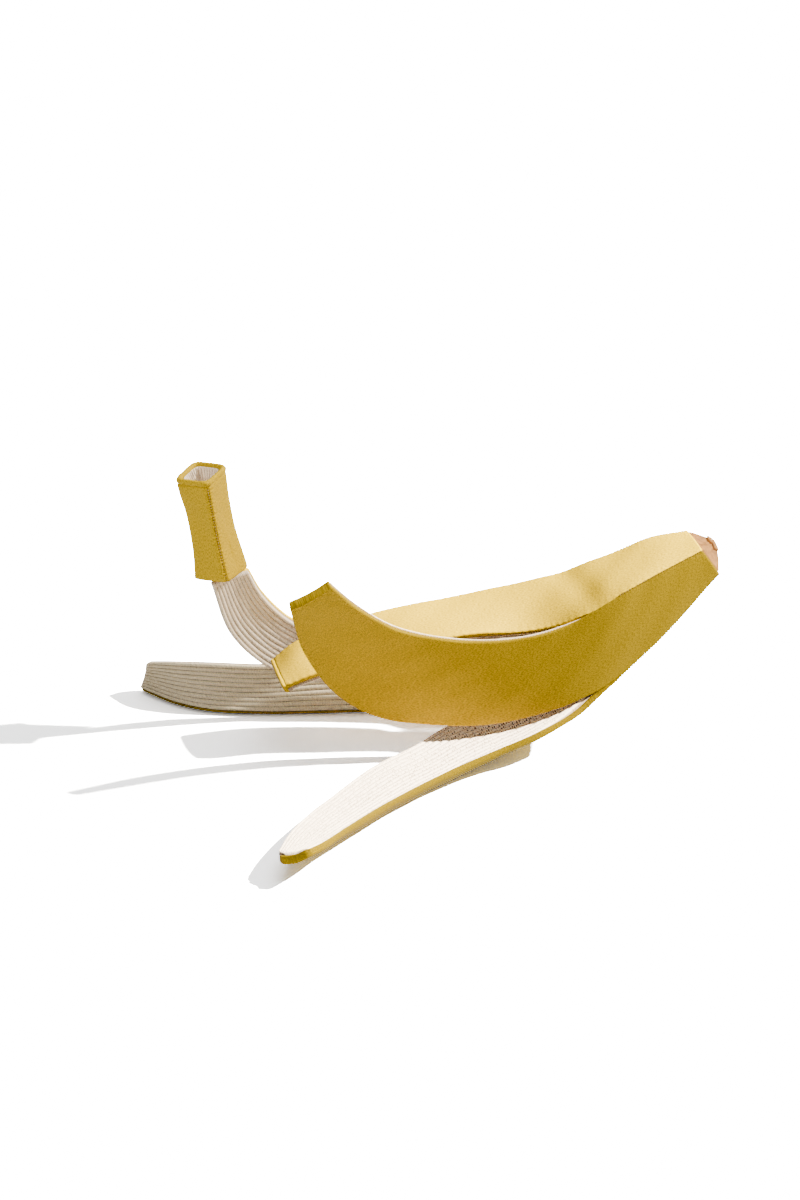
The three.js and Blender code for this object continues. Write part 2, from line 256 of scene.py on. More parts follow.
def satin_strip(letter, seed):
    """The padded strip: a rounded section carried along its stations, puckered beside its seams
    and waved a little, with a crease, a lip over the lining and a rounded fold at its end."""
    s = lay_out(letter, SEWN_SHARES, FREE_SHARES)
    spread, over, drop, under = pad_section(6, 34)
    left, run, freed = (s[key][:, None] for key in ("left", "run", "freed"))
    roll = SEWN_ROLL + (ROLL - SEWN_ROLL) * freed
    fold = np.clip(1 - left / HEM, 0, 1)
    lip = (left < HEM) & (letter in HEMMED)
    thick = SATIN + (GAP + LINING) * lip * HEM_SHARE.get(letter, 1)
    end = np.sqrt(np.clip(1 - np.clip(1 - left / ROLL, 0, 1) ** 2, 0.02, 1))
    depth = np.where(under, thick - roll * drop, roll * drop)
    depth = thick / 2 + (depth - thick / 2) * end
    mitre = s["slope"][:, None] * (1 - SEAM_FILL * (1 - freed))
    half = s["width"][:, None] / 2 - GAP / 2 * freed - mitre * depth
    x = spread * (half - roll) + roll * over * end
    rolled = np.clip(1 - (half - x) / LIP_WIDTH.get(letter, 1), 0, 1)
    depth = depth + np.where(under & ~lip, LIP.get(letter, 0) * rolled**0.5 * freed, 0)
    ragged = RAGGED * sway(x * 9, 0 * x + 40 * seed, seed)
    hem = HEM_LINE * np.exp(-(((left - HEM + ragged) / HEM_LINE_WIDTH) ** 2))
    hem = hem - HEM_PUFF * np.sin(np.pi * fold)
    edge = np.clip(half - np.abs(x), 0, None)
    pucker = PUCKER * np.sin(run * PUCKER_TURN + 3 * sway(run, 0 * x, seed))
    pucker = pucker * np.exp(-edge / PUCKER_REACH)
    wave = WAVE * sway(run, x, seed) * (left > 0.5)
    depth = depth + np.where(under, 0, hem + pucker + wave * (edge > 0.5))
    if letter == "b":
        across = x / (2 * half) + 0.5
        past = place(s, x, depth)[..., 0] * 1000 + CENTRE[0] - (CREASE_FOOT - CREASE_SLANT * across)
        depth = depth + CREASE * np.exp(-((past / CREASE_REACH) ** 2)) * ~under
    grid = place(s, x, depth) - s["along"][:, None] * (ragged * 0.5 * fold)[..., None] / 1000
    round_edge = x + np.where(np.abs(spread) == 1, depth, 0)
    return surface(f"satin_strip_{letter}", grid, round_edge, run), s


# Satin is dense and slightly waxy, with warp threads along the strip that catch the light and a
# fine uneven grain. Its colour drifts a little at random over the cloth.
def node_group(name, inputs, outputs):
    """An empty shader node group with the named float and vector sockets."""
    group = bpy.data.node_groups.new(name, "ShaderNodeTree")
    for title, kind, value in inputs:
        socket = group.interface.new_socket(name=title, in_out="INPUT", socket_type=kind)
        if value is not None:
            socket.default_value = value
    for title, kind in outputs:
        group.interface.new_socket(name=title, in_out="OUTPUT", socket_type=kind)
    return group, group.nodes.new("NodeGroupInput"), group.nodes.new("NodeGroupOutput")


def add_node(tree, kind, links=None, **settings):
    """A node with its properties set and its inputs linked or given a value."""
    node = tree.nodes.new(kind)
    for key, value in settings.items():
        setattr(node, key, value)
    for key, value in (links or {}).items():
        if isinstance(value, bpy.types.NodeSocket):
            tree.links.new(value, node.inputs[key])
        else:
            node.inputs[key].default_value = value
    return node


def new_material(name):
    """A material, its node tree and its Principled BSDF."""
    material = bpy.data.materials.new(name)
    material.use_nodes = True
    return material, material.node_tree, material.node_tree.nodes["Principled BSDF"]


def add_bump(tree, bsdf, height, strength, distance):
    """A bump node that gives the material a fine relief, its distance in metres."""
    bump = add_node(tree, "ShaderNodeBump",
                    {"Height": height, "Strength": strength, "Distance": distance})
    tree.links.new(bump.outputs[0], bsdf.inputs["Normal"])


def ramp(tree, factor, stops):
    """A colour ramp between the given (place, colour) stops."""
    node = add_node(tree, "ShaderNodeValToRGB", {"Fac": factor})
    while len(node.color_ramp.elements) < len(stops):
        node.color_ramp.elements.new(0.5)
    for element, (at, colour) in zip(node.color_ramp.elements, stops):
        element.position = at
        element.color = (*colour, 1)
    return node.outputs["Color"]


FLOAT, VECTOR = "NodeSocketFloat", "NodeSocketVector"
CROSS_WEAVE = 0.35  # height of the diagonal weave against the grain of the threads
DRIFT_SHARE = 0.08  # share of the satin's tone that drifts slowly over the cloth

weave, weave_in, weave_out = node_group(
    "thread_weave",
    [("Cloth", VECTOR, None), ("Thread", FLOAT, 0.4), ("Stretch", FLOAT, 5.0)],
    [("Grain", FLOAT), ("Relief", FLOAT), ("Drift", FLOAT)],
)
cloth = weave_in.outputs["Cloth"]
thread = add_node(weave, "ShaderNodeMath", {0: 1.0, 1: weave_in.outputs["Thread"]}, operation="DIVIDE")
lengthwise = add_node(weave, "ShaderNodeMath", {0: thread.outputs[0], 1: weave_in.outputs["Stretch"]},
                      operation="DIVIDE")
fine = add_node(weave, "ShaderNodeCombineXYZ",
                {"X": thread.outputs[0], "Y": lengthwise.outputs[0], "Z": 1.0})
threads = add_node(weave, "ShaderNodeVectorMath", {0: cloth, 1: fine.outputs[0]}, operation="MULTIPLY")
grain = add_node(weave, "ShaderNodeTexNoise", {"Vector": threads.outputs[0], "Scale": 1.0, "Detail": 3.0})
cross = add_node(weave, "ShaderNodeTexWave",
                 {"Vector": cloth, "Scale": 0.9, "Distortion": 1.5, "Detail": 1.0, "Detail Scale": 3.0},
                 wave_type="BANDS", bands_direction="DIAGONAL")
drift = add_node(weave, "ShaderNodeTexNoise", {"Vector": cloth, "Scale": 0.035, "Detail": 2.0})
relief = add_node(weave, "ShaderNodeMath",
                  {0: cross.outputs["Fac"], 1: CROSS_WEAVE, 2: grain.outputs["Fac"]},
                  operation="MULTIPLY_ADD")
weave.links.new(grain.outputs["Fac"], weave_out.inputs["Grain"])
weave.links.new(relief.outputs[0], weave_out.inputs["Relief"])
weave.links.new(drift.outputs["Fac"], weave_out.inputs["Drift"])


def weave_node(tree, place_on_cloth, thread, stretch):
    """The thread weave in a material, with threads so many mm wide and so many times as long."""
    node = tree.nodes.new("ShaderNodeGroup")
    node.node_tree = weave
    tree.links.new(place_on_cloth, node.inputs["Cloth"])
    node.inputs["Thread"].default_value = thread
    node.inputs["Stretch"].default_value = stretch
    return node


def satin_material(name, shade, light):
    """Golden satin between a shade and a light tone, with threads along the cloth's length."""
    material, tree, bsdf = new_material(name)
    cloth = add_node(tree, "ShaderNodeUVMap", uv_map="UVMap")
    threads = weave_node(tree, cloth.outputs[0], 0.65, 2.2)
    grain = add_node(tree, "ShaderNodeMath", {0: threads.outputs["Grain"], 1: 1 - DRIFT_SHARE},
                     operation="MULTIPLY")
    tone = add_node(tree, "ShaderNodeMath",
                    {0: threads.outputs["Drift"], 1: DRIFT_SHARE, 2: grain.outputs[0]},
                    operation="MULTIPLY_ADD")
    colour = ramp(tree, tone.outputs[0], [(0.36, shade), (0.62, light)])
    tree.links.new(colour, bsdf.inputs["Base Color"])
    rough = add_node(tree, "ShaderNodeMapRange", {0: threads.outputs["Grain"], 3: 0.48, 4: 0.66})
    tree.links.new(rough.outputs[0], bsdf.inputs["Roughness"])
    add_bump(tree, bsdf, threads.outputs["Relief"], 0.35, 0.00012)
    bsdf.inputs["Specular IOR Level"].default_value = 0.12
    bsdf.inputs["Specular Tint"].default_value = (1.0, 0.6, 0.05, 1)
    return material


satin_cloth = satin_material("golden_satin", (0.21, 0.133, 0.0), (0.39, 0.247, 0.0))
SLOTS = {"a": "front", "b": "top", "c": "stem_strip", "d": "back", "e": "bottom"}
strips = {}
for seed, (letter, slot) in enumerate(SLOTS.items()):
    piece, strips[letter] = satin_strip(letter, seed + 1.0)
    piece.data.materials.append(satin_cloth)
    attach(piece, "root")
    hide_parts(f"satin_{letter}")

# Corded linings. Cotton cords, khaki on the back strip and cream on the others, lie side by side
# along each strip and are sewn down as one layer, so every cord stands up as a round ridge with
# the slanting strands of a twisted rope.
CORD_PITCH = 3.1  # mm between the cords at the widest place
STRAND = 3.3  # mm along a cord from one strand to the next
CORD_RISE = 1.3  # mm from the valley between two cords to their tops
STRAND_DEPTH = 0.26  # share of a cord's height by which two strands are parted
BINDING_STRAND = 0.1  # the same for the cord across the end
STRAND_SLANT, STRAND_SHIFT = 0.75, 0.37  # strands, across a cord and from each cord to the next
BINDING_STRANDS = 0.95  # strands of the end cord for each cord that it crosses
UNEVEN = 0.07  # mm, a slow unevenness of each cord's height
WANDER = 0.05  # how far a cord strays sideways, in cord widths
RIM_DROP = 1.0  # mm by which the outer half of the outermost cords is rounded down
FREE_LENGTH = 300.0  # mm, roughly the length of a free strip
SEWN_MARGIN = 0.6  # satin beside the lining in the sewn part, in mm
# The same at each strip's two free edges: below 0 the cords stand out over the satin's edge.
MARGINS = {"a": (-0.2, -0.5), "b": (-0.4, -0.2), "c": (0.7, -1.6), "d": (-1.5, 1.5), "e": (-1.2, 2.4)}
BINDING = 3.2  # mm, the cord that is sewn across a lining's free end
CORDS = {"a": 15, "b": 11, "c": 11, "d": 10, "e": 14}


def cord_top(share):
    """The height of a cord's top at a share of its width, from 0 to 1: a full, round arch."""
    return (1 - np.abs(2 * share - 1) ** 2.4) ** 0.55


def corded_lining(letter, seed):
    """A slab whose far face carries round ridges: each is a full, round arch across the cord, cut
    by slanting grooves where two strands meet, and one more cord runs across the end."""
    cords = CORDS[letter]
    stop = 1 - (HEM + GAP) / FREE_LENGTH if letter in HEMMED else 1.0
    s = lay_out(letter, SEWN_SHARES, np.linspace(0, 1, 460) * stop)
    per_cord = np.array([0.0, 0.1, 0.3, 0.5, 0.7, 0.9])
    cord = np.concatenate([(np.arange(cords)[:, None] + per_cord).ravel(), [cords]])
    which = np.minimum(np.floor(cord), cords - 1)
    f = cord - which
    base = SATIN + GAP
    run = s["run"][:, None]
    freed = s["freed"][:, None]
    low, high = ((SEWN_MARGIN + (m - SEWN_MARGIN) * freed) for m in MARGINS[letter])
    half = s["width"][:, None] / 2 - GAP / 2 - s["slope"][:, None] * base
    wander = WANDER * np.sin(run * 0.13 + which * 1.7 + seed) / cords
    across = cord / cords + wander * np.sin(np.pi * cord / cords)
    inner = np.clip(half - s["slope"][:, None] * LINING, 1.0, None)
    round_top = cord_top(f)
    strand = np.abs(np.sin(np.pi * (run / STRAND + STRAND_SLANT * f + which * STRAND_SHIFT)))
    height = CORD_RISE * round_top * (1 - STRAND_DEPTH + STRAND_DEPTH * strand**0.5)
    height = height + UNEVEN * np.sin(run * 0.21 + which * 2.3 + seed) * round_top
    bound = np.clip(s["left"][:, None] / BINDING, 0, 1)
    strand = np.abs(np.sin(np.pi * (cord * BINDING_STRANDS + STRAND_SLANT * bound)))
    over_end = CORD_RISE * cord_top(bound) * (1 - BINDING_STRAND + BINDING_STRAND * strand**0.5)
    height = np.where(bound < 1, over_end, height)
    rim = np.minimum(cord, cords - cord) / 0.5
    top_depth = base + LINING - CORD_RISE + height - RIM_DROP * np.clip(1 - rim, 0, 1) ** 2
    x_top = -(inner - low) + across * (2 * inner - low - high)
    x_base = -(half - low) + cord / cords * (2 * half - low - high)
    x = np.concatenate([x_base, x_top[:, ::-1]], axis=1)
    depth = np.concatenate([np.full_like(x_base, base), top_depth[:, ::-1]], axis=1)
    u = np.concatenate([cord, cord[::-1]]) * CORD_PITCH
    return surface(f"corded_lining_{letter}", place(s, x, depth), u, run), s


def cotton_material(name, shade, light, recess_shade, holes=0.0):
    """Cotton cord: pale tops, with painted shade darkening the valleys between the cords, fine slanting
    fibres and, on an open knit, small holes painted dark as shade where the middles of scattered cells
    lie."""
    material, tree, bsdf = new_material(name)
    cloth = add_node(tree, "ShaderNodeUVMap", uv_map="UVMap")
    slant = add_node(tree, "ShaderNodeMapping", {"Vector": cloth.outputs[0], "Rotation": (0, 0, 0.85)})
    fibres = weave_node(tree, slant.outputs[0], 0.35, 3.0)
    split = add_node(tree, "ShaderNodeSeparateXYZ", {"Vector": cloth.outputs[0]})
    turns = add_node(tree, "ShaderNodeMath", {0: split.outputs["X"], 1: 1 / CORD_PITCH},
                     operation="MULTIPLY")
    inside = add_node(tree, "ShaderNodeMath", {0: turns.outputs[0]}, operation="FRACT")
    centred = add_node(tree, "ShaderNodeMath", {0: inside.outputs[0], 1: 0.5}, operation="SUBTRACT")
    off = add_node(tree, "ShaderNodeMath", {0: centred.outputs[0]}, operation="ABSOLUTE")
    # Painted shade: towards the edges of each cord the colour is mixed up to 0.8 of the way to the dark
    # third colour, darkening the valleys between the cords.
    valley = add_node(tree, "ShaderNodeMapRange", {0: off.outputs[0], 1: 0.4, 2: 0.5, 3: 0.0, 4: 0.8})
    base = ramp(tree, fibres.outputs["Grain"], [(0.32, shade), (0.66, light)])
    valley_shaded = add_node(tree, "ShaderNodeMix", {0: valley.outputs[0], 6: base, 7: (*recess_shade, 1)},
                       data_type="RGBA")
    # Painted shade: the middles of scattered knit cells are mixed towards the same dark colour, standing
    # in for the shade inside small holes.
    knit = add_node(tree, "ShaderNodeTexVoronoi",
                    {"Vector": cloth.outputs[0], "Scale": 0.62, "Randomness": 0.45})
    hole_shade = add_node(tree, "ShaderNodeMapRange",
                    {0: knit.outputs["Distance"], 1: 0.2, 2: 0.4, 3: holes, 4: 0.0})
    hole_shaded = add_node(tree, "ShaderNodeMix", {0: hole_shade.outputs[0], 6: valley_shaded.outputs[2], 7: (*recess_shade, 1)},
                       data_type="RGBA")
    tree.links.new(hole_shaded.outputs[2], bsdf.inputs["Base Color"])
    add_bump(tree, bsdf, fibres.outputs["Relief"], 0.6, 0.00025)
    bsdf.inputs["Roughness"].default_value = 0.85
    bsdf.inputs["Specular IOR Level"].default_value = 0.25
    return material


CREAM_SHADE, CREAM_LIGHT = (0.52, 0.40, 0.26), (0.84, 0.70, 0.51)
# The third colour given to each cotton is the painted shade of its valleys and knit holes.
cotton = cotton_material("cream_cotton_cord", CREAM_SHADE, CREAM_LIGHT, (0.22, 0.13, 0.06))
knit_cotton = cotton_material("open_knit_cotton", CREAM_SHADE, CREAM_LIGHT, (0.12, 0.07, 0.03), 0.8)
khaki_cotton = cotton_material("khaki_cotton_cord", (0.56, 0.45, 0.27), (0.93, 0.79, 0.53),
                               (0.17, 0.10, 0.04))
COTTON_OF = {"d": khaki_cotton, "e": knit_cotton}  # the other linings are cream
for seed, (letter, slot) in enumerate(SLOTS.items()):
    piece, s = corded_lining(letter, seed + 1.0)
    piece.data.materials.append(COTTON_OF.get(letter, cotton))
    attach(piece, "root")
    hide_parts(f"lining_{letter}")

# Stem sleeve. A square sleeve of the same satin, waisted a little, with a puckered seam down its
# front corner and a folded hem round its mouth. It is sewn over the end of the stem strip.
STEM_BASE = np.array([-135.9, 92.4, 111.0])
STEM_TOP = np.array([-148.5, 88.5, 184.2])
STEM_SIDE = 25.4  # mm
STEM_WALL = 3.2  # mm
WAIST = 0.105  # how much narrower the sleeve is half way up, as a share of its side
MOUTH_FLARE, FOOT_FLARE = 0.05, 0.07  # how much wider its mouth and foot are, as shares too
SQUARENESS, MOUTH_SQUARENESS = 9.0, 5.0  # the power of the squared circle, and at the mouth
MOUTH_RUN = 14.0  # mm below the mouth over which the corners turn rounder
FOOT_RUN = 20.0  # mm above the foot over which the foot is pulled down at two corners
FOOT_DROP, FOOT_TILT = 1.3, 0.7  # mm, how far on average, and how much further on the right
SEAM_DEPTH, SEAM_PITS, SEAM_WIDTH = 0.8, 0.3, 0.6  # mm, the corner seam's groove and its pits
GATHER, GATHER_OFF, GATHER_SPREAD = 0.28, 1.5, 1.6  # mm, mm and mm², the gathers beside that seam
SLEEVE_WAVE = 0.35  # mm, a slow unevenness of the sleeve
HEM_WAVE, HEM_RIPPLE = 0.22, 0.12  # mm, the same of its hem, slow and quick
stem_length = float(np.linalg.norm(STEM_TOP - STEM_BASE))
stem_up = (STEM_TOP - STEM_BASE) / stem_length
stem_right = np.array([np.cos(np.radians(-30.7)), np.sin(np.radians(-30.7)), 0.0])
stem_right = unit(stem_right - stem_up * (stem_right @ stem_up))
stem_back = np.cross(stem_up, stem_right)
FRONT_CORNER = 1.75 * np.pi  # angle of the sleeve's front corner round its axis


def squared(turn, height, inwards, sharp=SQUARENESS):
    """Points round the stem's axis on a squared circle, whose x and y raised to a high power add
    up to one, so its sides bulge slightly and its corners are rounded."""
    rise = np.clip(height / stem_length, 0, 1)
    width = 1 - WAIST * np.sin(np.pi * rise) ** 1.3
    width = width + MOUTH_FLARE * rise**6 + FOOT_FLARE * (1 - rise) ** 6
    half = STEM_SIDE / 2 * width - inwards
    c, s = np.cos(turn), np.sin(turn)
    radius = half / (np.abs(c) ** sharp + np.abs(s) ** sharp) ** (1 / sharp)
    side, back = radius * c, radius * s
    at = STEM_BASE + stem_up * height[..., None]
    at = at + stem_right * side[..., None] + stem_back * back[..., None]
    return (at - CENTRE) / 1000


theta = np.linspace(0, 2 * np.pi, 320, endpoint=False)[None]
theta = theta + 0.15 * np.sin(4 * theta)  # the points crowd at the corners
wall = np.array([
    (0.0, 0.9), (0.0, 3.0), *[(0.0, h) for h in np.linspace(4.5, stem_length - 6, 160)],
    (0.1, stem_length - 4.9), (0.8, stem_length - 4.35), (1.2, stem_length - 4.0),
    (0.6, stem_length - 3.75), (-0.15, stem_length - 3.3), (-0.35, stem_length - 2.4),
    (-0.25, stem_length - 1.3), (0.15, stem_length - 0.45), (0.9, stem_length),
    (1.8, stem_length - 0.05), (2.6, stem_length - 0.5), (3.0, stem_length - 1.4),
    (STEM_WALL, stem_length - 3.0), (STEM_WALL, stem_length - 12), (STEM_WALL, 12), (STEM_WALL, 0.9),
    (2.6, 0.15), (1.6, 0.0), (0.6, 0.15),
])
inwards, height = wall[:, :1], wall[:, 1:]
from_seam = np.abs((theta - FRONT_CORNER + np.pi) % (2 * np.pi) - np.pi) * STEM_SIDE / 2
outside = (inwards < 0.9) & (height < stem_length - 4.5)
seam = np.exp(-((from_seam / SEAM_WIDTH) ** 2)) * (SEAM_DEPTH + SEAM_PITS * np.cos(np.pi * (height - 1)))
gather = np.exp(-((from_seam - GATHER_OFF) ** 2) / GATHER_SPREAD) * GATHER
gather = gather * np.sin(height * 3.1 + 2.4 * np.sin(height * 0.7))
hem_wave = HEM_WAVE * np.sin(theta * 13 + 1.3 * np.sin(theta * 5)) + HEM_RIPPLE * np.sin(theta * 37)
lift = (seam + gather) * outside + SLEEVE_WAVE * sway(height, theta * 14, 2.0) * outside
at_hem = np.clip(1 - np.abs(height - stem_length + 2) / 3, 0, 1)
towards_right = np.cos(theta - 0.25 * np.pi)
foot = np.clip(1 - height / FOOT_RUN, 0, 1) * np.abs(towards_right) ** 1.5
foot = foot * (FOOT_DROP + FOOT_TILT * towards_right)
rounder = np.clip((height - stem_length + MOUTH_RUN) / MOUTH_RUN, 0, 1)
sharp = SQUARENESS + (MOUTH_SQUARENESS - SQUARENESS) * rounder
grid = squared(theta, height + hem_wave * at_hem - foot, inwards + lift, sharp)
sleeve = surface("stem_sleeve_satin", grid, theta * STEM_SIDE * 0.64, height + inwards, ring=True)
sleeve.data.materials.append(satin_cloth)
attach(sleeve, "root")
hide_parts("stem_sleeve")

# Stem lining. The same cream cord lines the sleeve: its cords run over the edge of the hem and
# down into a funnel that is gathered shut, so they crowd together towards the bottom.
FUNNEL = 26.0  # depth of the funnel, in mm
FUNNEL_CORDS = 26
FUNNEL_TURN, FUNNEL_TOP = 4.1, 4.9  # mm from the sleeve's face, over the hem and inside it
FUNNEL_NARROWING = 6.8  # mm by which the funnel narrows to its bottom
CORD_RIDGE, CORD_TWIST = 0.75, 0.2  # mm, how far a cord stands up, and its strands on it
FUNNEL_FOLDS, FUNNEL_FOLD = 6, 1.1  # how many gathers, and how deep at the bottom, in mm
theta = np.linspace(0, 2 * np.pi, FUNNEL_CORDS * 12, endpoint=False)[None]
outer_wall = np.linspace(stem_length - 28, stem_length - 2.2, 6)
down = np.linspace(0, 1, 44)
height = np.concatenate([outer_wall, [stem_length - 1.7], stem_length - 1.8 - FUNNEL * down])[:, None]
tight = np.concatenate([np.full(6, STEM_WALL + GAP), [FUNNEL_TURN],
                        FUNNEL_TOP + FUNNEL_NARROWING * down**1.15])[:, None]
inner = np.concatenate([np.zeros(7), np.ones(44)])[:, None]
ridge = np.sqrt(np.clip(1 - (2 * ((theta * FUNNEL_CORDS / (2 * np.pi)) % 1) - 1) ** 2, 0, 1))
strand = np.abs(np.sin(height * 1.05 + theta * FUNNEL_CORDS / 2))
deep = np.concatenate([np.zeros(7), down])[:, None]
fold = FUNNEL_FOLD * np.sin(theta * FUNNEL_FOLDS + 0.8 + 1.5 * deep) * deep * inner
ridge = ridge * (CORD_RIDGE + CORD_TWIST * strand) * (1 - 0.6 * deep)
grid = squared(theta, height, tight - inner * (ridge + fold), MOUTH_SQUARENESS)
funnel = surface("stem_funnel_cord", grid, theta * FUNNEL_CORDS * CORD_PITCH / (2 * np.pi), height)
funnel.data.materials.append(cotton)
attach(funnel, "root")
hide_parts("stem_lining")

# Neck gusset. Behind the sleeve's foot a gathered piece of satin closes the gap to the back of
# the stem strip, pleated under the sleeve and flat where it is sewn to the strip.
NECK_RUN = 26.0  # mm of the strip that the gusset covers
NECK_CORNER = 10.5  # mm from the stem's axis to the gusset's corner, along each side
NECK_LAY = CROWN + 0.4  # mm from the strip's edges to the gusset's face
NECK_BULGE = 2.5  # mm by which its sides stand out
NECK_HOLLOW = 1.25  # power of its run from the foot to the strip: above 1 it is hollow
NECK_PLEATS, NECK_PLEAT = 11, 0.05  # how many pleats, and how deep as a share of its width
NECK_ROWS, NECK_COLUMNS = 28, 96  # points along the gusset and round it
NECK_CLOTH = (60.0, 20.0)  # mm, its cloth's size round the neck and along it


def round_loop(points, count):
    """A closed smooth curve through the points, a sum of neighbouring cubic pieces."""
    p = np.array(points)
    t = np.linspace(0, len(p), count, endpoint=False)
    i = t.astype(int)
    f = (t - i)[:, None]
    a, b, c, d = (p[(i + k) % len(p)] for k in (-1, 0, 1, 2))
    bent = (2 * a - 5 * b + 4 * c - d) * f**2 + (3 * b - a - 3 * c + d) * f**3
    return 0.5 * (2 * b + (c - a) * f + bent)


stem_strip = strips["c"]
end = len(stem_strip["run"]) - 1
low = int(np.searchsorted(stem_strip["run"], stem_strip["run"][-1] - NECK_RUN))


def behind(station, t, off):
    """A point behind the stem strip, at a share t of its width and a height over its satin."""
    edge = stem_strip["low"][station] * (1 - t) + stem_strip["high"][station] * t
    return edge + stem_strip["out"][station] * off


corner = STEM_BASE - stem_up * GAP - stem_right * NECK_CORNER + stem_back * NECK_CORNER
upper = [behind(end, t, NECK_LAY) for t in (0.08, 0.5, 0.92)]
upper = [q - stem_up * max((q - STEM_BASE) @ stem_up + GAP, 0) for q in upper]
bulge = stem_strip["out"][end] * NECK_BULGE
top_loop = round_loop([*upper, corner * 0.5 + upper[2] * 0.5 + bulge, corner,
                       corner * 0.5 + upper[0] * 0.5 + bulge], NECK_COLUMNS)
lower = [behind(low, t, NECK_LAY) for t in (0.3, 0.5, 0.7)]
away = stem_strip["out"][low]
bottom_loop = round_loop([*lower, lower[2] + away, lower[1] + away * 1.6, lower[0] + away],
                         NECK_COLUMNS)
t = np.linspace(0, 1, NECK_ROWS)[:, None, None]
down = 1 - (1 - t) ** NECK_HOLLOW
gusset_grid = top_loop * (1 - down) + bottom_loop * down
centre_line = gusset_grid.mean(axis=1, keepdims=True)
turn = np.linspace(0, 2 * np.pi, NECK_COLUMNS)[None, :, None]
pleat = 1 + NECK_PLEAT * np.sin(NECK_PLEATS * turn) * (1 - t)
gusset_grid = centre_line + (gusset_grid - centre_line) * pleat
gusset = surface("neck_gusset_satin", (gusset_grid - CENTRE) / 1000,
                 np.linspace(0, NECK_CLOTH[0], NECK_COLUMNS),
                 np.linspace(0, NECK_CLOTH[1], NECK_ROWS)[:, None])
gusset.data.materials.append(satin_cloth)
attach(gusset, "root")
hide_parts("stem_gusset")

# Blossom end. A scrap of tan leather is pleated into a low five-sided cap, its folds running to
# a small rolled knob, and its edge is tucked under the satin of the five strips.
CAP_RISE = 9.5  # mm from the satin's ends to the peak
CAP_TUCK = 2.2  # mm by which its edge is tucked under the satin
CAP_RIM = 2.4  # mm that it rises steeply from there
CAP_LEAN = 2.2  # mm by which its peak stands higher
CAP_FOLD, CAP_CRINKLE, CAP_SLIT = 1.7, 0.45, 1.3  # mm, depths of its folds, crinkles and slit
CAP_EDGE, KNOB, KNOB_END = 0.9, 0.13, 0.035  # sizes as shares of the five strips' ends
KNOB_FROM = 0.72  # share of the way to the peak where the knob begins
ring = np.array([SEAMS[k][0] for k in ("DE", "CD", "BC", "AB", "EA")])
cap_centre = ring.mean(axis=0)
cap_axis = unit(np.cross(ring[0] - cap_centre, ring[1] - cap_centre))
turn = np.linspace(0, 5, 240, endpoint=False)
side = turn.astype(int)
share = (turn - side)[:, None]
outline = ring[side] * (1 - share) + ring[(side + 1) % 5] * share - cap_centre
t = np.linspace(0, 1, 60)[:, None]
knob = KNOB * np.sin(np.pi * np.clip((t - KNOB_FROM) / (1 - KNOB_FROM), 0, 1)) ** 0.8
size = CAP_EDGE * (1 - t) ** 0.92 + knob + KNOB_END
rise = -CAP_TUCK + CAP_RIM * np.clip(t / 0.05, 0, 1) + (CAP_RISE + CAP_TUCK - CAP_RIM) * t**0.82
to_ridge = np.abs((turn % 1) - 0.5) * 2
crinkle = 0.5 * np.sin(turn * 9 + 5 * t) + 0.35 * np.sin(turn * 17 - 8 * t)
valley = np.sin(np.pi * np.clip(t / 0.95, 0, 1))
valley = valley * (CAP_FOLD * (1 - to_ridge**1.5) - CAP_CRINKLE * crinkle)
slit = CAP_SLIT * np.exp(-((((turn + 1.45) % 5 - 2.5) / 0.16) ** 2))
slit = slit * np.sin(np.pi * np.clip((t - 0.45) / 0.55, 0, 1))
cap_grid = cap_centre + outline * size[..., None] + cap_axis * (rise - valley - slit)[..., None]
cap_grid = cap_grid + np.array([0.0, 0.0, 1.0]) * (CAP_LEAN * t**2)[..., None]
cap = surface("blossom_cap_leather", (cap_grid - CENTRE) / 1000, turn * 14, rise)
cap_leather, tree, bsdf = new_material("tan_leather")
spot = add_node(tree, "ShaderNodeTexCoord")
pores = add_node(tree, "ShaderNodeTexVoronoi", {"Vector": spot.outputs["Object"], "Scale": 1900.0},
                 feature="DISTANCE_TO_EDGE")
wear = add_node(tree, "ShaderNodeTexNoise",
                {"Vector": spot.outputs["Object"], "Scale": 260.0, "Detail": 4.0})
tone = ramp(tree, wear.outputs["Fac"], [(0.3, (0.24, 0.10, 0.025)), (0.65, (0.46, 0.21, 0.055))])
tree.links.new(tone, bsdf.inputs["Base Color"])
rough = add_node(tree, "ShaderNodeMapRange", {0: wear.outputs["Fac"], 3: 0.55, 4: 0.8})
tree.links.new(rough.outputs[0], bsdf.inputs["Roughness"])
add_bump(tree, bsdf, pores.outputs["Distance"], 0.5, 0.0002)
bsdf.inputs["Specular IOR Level"].default_value = 0.2
cap.data.materials.append(cap_leather)
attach(cap, "root")
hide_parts("tip_cap")

# Stitching. Matching gold thread closes the five seams and the stem's corner, and holds down the
# edges of the linings: short rounded stitches 2 mm apart, each one sunk a little at its ends.
STITCH = 2.0  # mm from one stitch to the next
THREAD = 0.26  # mm, radius of the thread
SEAM_THREAD, CORNER_THREAD = 0.33, 0.4  # mm, the same in the seams and at the stem's corner
STITCH_LEAN = 0.25  # how far a stitch leans sideways for each mm of its length
STITCH_ARCH, STITCH_SUNK = 0.15, 0.05  # mm, how far its middle stands out and its ends sink
STITCH_SIDES = 6  # points round a stitch, and rings along it
STITCHED_SHARE = 0.985  # share of a free edge that is stitched
EDGE_STEP = 0.35  # mm from the edge of the satin's inner face to the stitches


